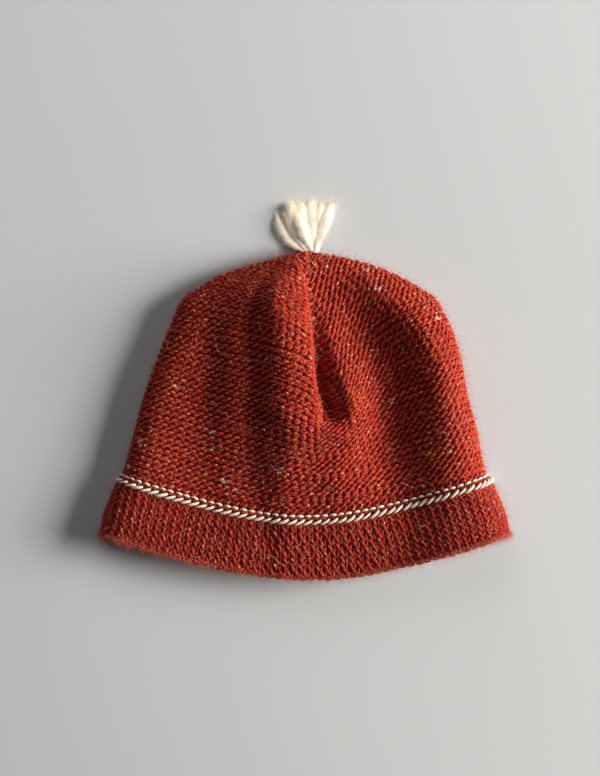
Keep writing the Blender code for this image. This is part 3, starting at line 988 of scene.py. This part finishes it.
# ------------------------------------------------------------- tassel
# columns: x, y at the neck, half way and at the tip; height of the middle line;
# radius at the neck, half way, at the tip; how flat it lies
LOCKS = (
    ((3.0, 68.0), (-2.2, 79.0), (-4.4, 90.0), 2.0, (2.0, 4.4, 2.6), 0.36),
    ((4.2, 68.0), (5.8, 80.0), (7.2, 90.5), 2.0, (2.0, 4.8, 3.2), 0.36),
    ((0.9, 68.0), (-9.2, 76.4), (-13.6, 87.4), 1.5, (1.5, 2.3, 0.45), 0.60),
    ((1.4, 68.0), (-5.2, 79.6), (-8.8, 89.4), 2.2, (1.6, 2.9, 1.00), 0.58),
    ((3.0, 68.0), (-4.2, 84.2), (-6.6, 92.8), 2.7, (1.9, 3.3, 1.60), 0.50),
    ((3.4, 68.0), (-0.6, 84.0), (-1.8, 93.0), 2.8, (1.9, 3.3, 1.70), 0.48),
    ((4.0, 68.0), (3.6, 83.6), (3.2, 94.0), 2.6, (1.8, 3.4, 1.70), 0.48),
    ((4.4, 68.0), (7.2, 83.8), (8.6, 92.2), 2.6, (1.7, 3.1, 1.30), 0.50),
    ((4.8, 68.0), (9.8, 83.0), (14.4, 93.0), 2.8, (1.9, 3.3, 0.45), 0.58),
    ((4.0, 68.0), (-0.4, 78.5), (-5.2, 89.5), 4.2, (1.8, 3.2, 1.20), 0.60),
    ((4.6, 68.0), (8.4, 79.4), (11.0, 88.6), 3.0, (1.7, 3.1, 1.20), 0.55),
    ((4.4, 68.0), (4.0, 79.0), (5.0, 89.5), 3.0, (1.7, 3.2, 1.60), 0.50),
)
NECK_Z = 3.6


def lock_path(lock, t):
    neck, half, tip, height, thick, flat = lock
    t = np.asarray(t, float)
    ends = np.array([neck, half, tip])
    ease = np.array([0.0, 0.52, 1.0])
    # a parabola through the three points
    a = (t - ease[1]) * (t - 1) / (ease[1])
    b = t * (t - 1) / (ease[1] * (ease[1] - 1))
    c = t * (t - ease[1]) / (1 - ease[1])
    x, y = (a * ends[0, k] + b * ends[1, k] + c * ends[2, k] for k in range(2))
    z = NECK_Z + (height - NECK_Z) * smooth(0, 0.5, t) - 0.8 * smooth(0.6, 1.0, t)
    stations = np.array([0, 0.18, 0.55, 0.85, 1.0])
    widths = np.array([thick[0], thick[0] * 1.05, thick[1], thick[2] + 0.55 * (thick[1] - thick[2]), thick[2] * 0.6])
    r = curve(stations, widths, t)
    path = np.stack([x, y, z], -1)
    path[:, 2] = np.maximum(path[:, 2], r * flat)
    return path, r


def hairs(name, base, aim, length, radius, curl, material, tint, segments=3, floor=0.04):
    """Single fibres as thin three-sided tubes, all in one mesh."""
    n = len(base)
    t = np.linspace(0, 1, segments + 1)[None, :, None]
    aim = unit(aim)
    a = unit(np.cross(aim, rng.normal(size=(n, 3))))
    b = np.cross(aim, a)
    long = np.broadcast_to(length, (n,))[:, None, None]
    bend = rng.normal(0, curl, (n, 1, 1))
    bend2 = rng.normal(0, curl, (n, 1, 1))
    turn = rng.uniform(2.0, 5.5, (n, 1, 1))
    path = (
        base[:, None, :]
        + aim[:, None, :] * long * t
        + a[:, None, :] * long * bend * t**2
        + b[:, None, :] * long * bend2 * (np.sin(turn * t) / turn)
    )
    thick = (np.broadcast_to(radius, (n,))[:, None, None]) * (1 - 0.55 * t)
    angle = 2 * np.pi * np.arange(3) / 3
    ring = path[:, :, None, :] + thick[:, :, None, :] * (
        np.cos(angle)[None, None, :, None] * a[:, None, None, :]
        + np.sin(angle)[None, None, :, None] * b[:, None, None, :]
    )
    ring[..., 2] = np.maximum(ring[..., 2], floor)
    m, s_, k = np.meshgrid(np.arange(n), np.arange(segments), np.arange(3), indexing="ij")
    at = m * (segments + 1) * 3
    q0, q1 = at + s_ * 3 + k, at + s_ * 3 + (k + 1) % 3
    q2, q3 = at + (s_ + 1) * 3 + (k + 1) % 3, at + (s_ + 1) * 3 + k
    quads = np.stack([q0, q1, q2, q3], -1).reshape(-1, 4)
    side = math.ceil(math.sqrt(n))
    cell = np.stack([(m % side) / side, (m // side) / side], -1).reshape(-1, 1, 2)
    local = np.stack(
        [
            np.stack([s_ / segments, k / 3], -1),
            np.stack([s_ / segments, (k + 1) / 3], -1),
            np.stack([(s_ + 1) / segments, (k + 1) / 3], -1),
            np.stack([(s_ + 1) / segments, k / 3], -1),
        ],
        -2,
    ).reshape(-1, 4, 2)
    return mesh_object(
        name,
        ring.reshape(-1, 3),
        quads,
        material,
        uv=cell + local * (0.96 / side),
        floats={"tint": np.repeat(tint, (segments + 1) * 3)},
    )


def tassel():
    body = Tubes(14)
    base, aim, length, tint = [], [], [], []
    for lock in LOCKS:
        t = np.linspace(0, 1, 22)
        path, r = lock_path(lock, t)
        up = np.broadcast_to(np.array([0.0, 0.0, 1.0]), path.shape)
        body.add(path, up, r, twist=0.22, start=rng.uniform(0, 400), oval=lock[5])
        # loose fibres lie along the lock and fray out at its tip
        count = 700
        place = rng.uniform(0.08, 1.0, count) ** 0.75
        p, rr = lock_path(lock, place)
        ahead, _ = lock_path(lock, np.minimum(place + 0.02, 1.02))
        run = unit(ahead - p)
        round_ = rng.uniform(0, 2 * np.pi, count)
        side = unit(np.cross(run, np.array([0.0, 0.0, 1.0])))
        top = np.cross(side, run)
        out = side * np.cos(round_)[:, None] + top * np.sin(round_)[:, None] * (lock[5] + 0.08)
        base.append(p + out * rr[:, None] * rng.uniform(0.75, 1.06, (count, 1)))
        aim.append(run + out * rng.uniform(-0.05, 0.45, (count, 1)) + rng.normal(0, 0.22, (count, 3)))
        length.append(rng.uniform(1.6, 4.0, count) * (0.55 + 0.6 * (1 - place)) + 0.6)
        tint.append(rng.uniform(0, 1, count))
    piece(body.make("tassel_locks", TUFT), "cream_yarn", "tassel")
    base, aim = np.concatenate(base), np.concatenate(aim)
    base[:, 2] = np.maximum(base[:, 2], 0.1)
    fibres = hairs(
        "tassel_fibres", base, aim, np.concatenate(length), 0.075, 0.50, CREAM_HAIR_SHADED, np.concatenate(tint)
    )
    piece(fibres, "cream_yarn")
    # the fibres cast no shadow; their darker cream stands in for it as painted shade
    fibres.visible_shadow = False


tassel()


# ------------------------------------------------------------- loose fibres
def fuzz_from(rows, count, reach, upper_only, face_out=1.0):
    """Points on the outside of the knit, and a way out for each fibre."""
    here, normal, up, along, pitch, lengths, marks, upper = rows
    ends = np.array([ring[upper - 1] if upper_only else ring[-1] for ring in lengths])
    j = rng.choice(len(here), count, p=ends / ends.sum())
    total = ends[j]
    place = rng.uniform(0, 1, count) * total
    base, n, t, b = [], [], [], []
    for k in range(len(here)):
        pick = np.flatnonzero(j == k)
        if not len(pick):
            continue
        for store, values in ((base, here), (n, normal), (t, along), (b, up)):
            closed = np.concatenate([values[k], values[k][:1]])
            found = np.stack([np.interp(place[pick], lengths[k], closed[:, c]) for c in range(3)], -1)
            store.append(found)
    base, n, t, b = (np.concatenate(a) for a in (base, n, t, b))
    base = base + b * rng.uniform(-1.6, 1.6, (count, 1)) - n * rng.uniform(0.15, 1.1, (count, 1))
    aim = n * rng.uniform(0.1, 0.9, (count, 1)) + t * rng.normal(0, 0.8, (count, 1)) + b * rng.normal(0, 0.6, (count, 1))
    base[:, 2] = np.maximum(base[:, 2], 0.15)
    return base, aim


def fuzz():
    groups = []
    for rows, count in ((crown_rows, 5200), (brim_rows, 1500)):
        base, aim = fuzz_from(rows, count, 1.0, True)
        groups.append((base, aim))
    base, aim = (np.concatenate(a) for a in zip(*groups))
    n = len(base)
    length = np.minimum(0.9 + rng.exponential(0.95, n), 4.5)
    tint = np.where(rng.uniform(0, 1, n) < 0.55, rng.uniform(0.1, 0.6, n), rng.uniform(0.55, 1.0, n))
    piece(hairs("fuzz_upper", base, aim, length, 0.040, 0.45, HAIR, tint, segments=2), "rust_knit")
    base, aim = fuzz_from(crown_rows, 1500, 1.0, False)
    more, aim2 = fuzz_from(brim_rows, 500, 1.0, False)
    base, aim = np.concatenate([base, more]), np.concatenate([aim, aim2])
    n = len(base)
    piece(
        hairs("fuzz_all_round", base, aim, np.minimum(0.9 + rng.exponential(0.9, n), 4.0), 0.040, 0.45, HAIR, rng.uniform(0.1, 0.9, n), segments=2),
        "rust_knit",
    )


def edge_fuzz():
    """A halo of short fibres all along the outline, and a few long ones."""
    base, aim, length, tint = [], [], [], []
    for rows, per_row in ((crown_rows, 52), (brim_rows, 64)):
        here, normal = rows[0], rows[1]
        upper = rows[7]
        for k in range(len(here)):
            for end, out in ((0, -1.0), (upper - 1, 1.0)):
                spot = here[k, end]
                if abs(spot[0] - 3.2) < 9.0:
                    continue
                m = per_row // 2
                p = spot + rng.normal(0, 0.9, (m, 3)) + np.array([-out * 0.8, 0, 0.6])
                a = np.array([out, 0, 0.15]) + rng.normal(0, 0.55, (m, 3))
                base.append(p)
                aim.append(a + normal[k, end] * 0.8)
                length.append(np.minimum(0.8 + rng.exponential(0.8, m), 4.0))
                tint.append(rng.uniform(0.1, 0.85, m))
    hem = brim_rows[0][0]
    way = np.array([0.0, -1.0, 0.0])
    m = len(hem) * 13
    base.append(hem[rng.integers(0, len(hem), m)] + way * 1.6 + rng.normal(0, 0.7, (m, 3)))
    aim.append(way + rng.normal(0, 0.75, (m, 3)))
    length.append(np.minimum(1.2 + rng.exponential(1.2, m), 5.5))
    tint.append(rng.uniform(0.25, 0.92, m))
    base, aim, length = np.concatenate(base), np.concatenate(aim), np.concatenate(length)
    base[:, 2] = np.maximum(base[:, 2], 0.15)
    piece(hairs("fuzz_outline", base, aim, length, 0.043, 0.5, HAIR, np.concatenate(tint), segments=2), "rust_knit")


def strays():
    """Long curly pale fibres, one by one, over the upper layer and past the outline."""
    base, aim = fuzz_from(crown_rows, 360, 1.0, True)
    more, aim2 = fuzz_from(brim_rows, 90, 1.0, True)
    base, aim = np.concatenate([base, more]), np.concatenate([aim, aim2])
    tubes = Tubes(3)
    steps = 13
    t = np.linspace(0, 1, steps)
    for k in range(len(base)):
        run = unit(aim[k] * np.array([1.0, 1.0, 0.35]))
        side = unit(np.cross(run, rng.normal(size=3)))
        size = min(2.6 + rng.exponential(2.4), 11.0)
        loops = rng.uniform(1.5, 5.5)
        swing = rng.uniform(0.10, 0.30) * size
        lift = np.cross(run, side)
        path = (
            base[k]
            + run * (size * t)[:, None]
            + side * (swing * np.sin(loops * t + rng.uniform(0, 1)))[:, None]
            + lift * (0.5 * swing * (1 - np.cos(loops * t)))[:, None]
        )
        # they lie on the knit
        ground = upper_surface(path[:, 0], path[:, 1])[:, 2]
        path[:, 2] = np.maximum(np.minimum(path[:, 2], ground + 1.3), np.where(ground > 5, ground - 0.35, 0.1))
        tubes.add(path, np.broadcast_to(np.array([0.0, 0.1, 1.0]), path.shape), 0.075 * (1 - 0.5 * t), tint=rng.uniform(0.6, 1.0))
    # the thread end that lies over the crown under the tassel
    thread = np.array(((-0.8, 72.0, 3.0), (0.2, 69.5, 8.0), (1.3, 67.0, 11.5), (2.6, 64.5, 14.0), (3.9, 62.6, 15.2), (4.6, 61.4, 15.3)))
    k = np.linspace(0, 1, len(thread))
    fine = np.linspace(0, 1, 16)
    path = np.stack([curve(k, thread[:, c], fine) for c in range(3)], -1)
    path[:, 2] = np.maximum(path[:, 2], upper_surface(path[:, 0], path[:, 1])[:, 2] + 0.3)
    tubes.add(path, np.broadcast_to(np.array([1.0, 0.1, 0.2]), path.shape), 0.15, tint=0.95)
    piece(tubes.make("stray_fibres", HAIR), "rust_knit")


fuzz()
edge_fuzz()
strays()


# ------------------------------------------------------------- stage, camera, light
def floor_material():
    mat = bpy.data.materials.new("pale_floor")
    mat.use_nodes = True
    tree = mat.node_tree
    shader = tree.nodes["Principled BSDF"]
    shader.inputs["Roughness"].default_value = 0.75
    shader.inputs["Specular IOR Level"].default_value = 0.15
    place = tree.nodes.new("ShaderNodeTexCoord")
    soft = noise(tree, place.outputs["Object"], 3.0, 2.0, 0.5)
    tree.links.new(ramp(tree, soft, ((0.3, (0.525, 0.528, 0.524)), (0.7, (0.550, 0.553, 0.549)))), shader.inputs["Base Color"])
    return mat


def stage():
    size = 9000.0
    pts = [(-size, -size, -0.02), (size, -size, -0.02), (size, size, -0.02), (-size, size, -0.02)]
    floor = mesh_object("floor", pts, [(0, 1, 2, 3)], floor_material())

    cam = bpy.data.cameras.new("camera")
    cam.lens = 85.0
    cam.sensor_width = 36.0
    cam.clip_start, cam.clip_end = 0.05, 10.0
    eye = bpy.data.objects.new("camera", cam)
    eye.location = (-0.0022, 0.0015, 0.9065)
    bpy.context.scene.collection.objects.link(eye)
    bpy.context.scene.camera = eye

    def area(name, place, target, size_x, size_y, watts, colour):
        lamp = bpy.data.lights.new(name, "AREA")
        lamp.shape = "RECTANGLE"
        lamp.size, lamp.size_y = size_x, size_y
        lamp.energy = watts
        lamp.color = colour
        obj = bpy.data.objects.new(name, lamp)
        obj.location = place
        aim = Vector(target) - Vector(place)
        obj.rotation_mode = "QUATERNION"
        obj.rotation_quaternion = aim.to_track_quat("-Z", "Y")
        bpy.context.scene.collection.objects.link(obj)

    area("window", (1.98, 0.06, 0.78), (0.0, 0.0, 0.0), 1.15, 0.85, 118.0, (1.0, 0.985, 0.96))
    area("bounce", (-0.28, 0.95, 0.58), (-0.05, 0.15, 0.0), 1.1, 0.7, 4.2, (0.97, 0.98, 1.0))
    world = bpy.data.worlds.new("world")
    bpy.context.scene.world = world
    world.use_nodes = True
    back = world.node_tree.nodes["Background"]
    back.inputs["Color"].default_value = (0.92, 0.95, 1.0, 1.0)
    back.inputs["Strength"].default_value = 0.040
    view = bpy.context.scene.view_settings
    view.view_transform = "Standard"
    view.look = "None"
    view.exposure = 0.0


stage()
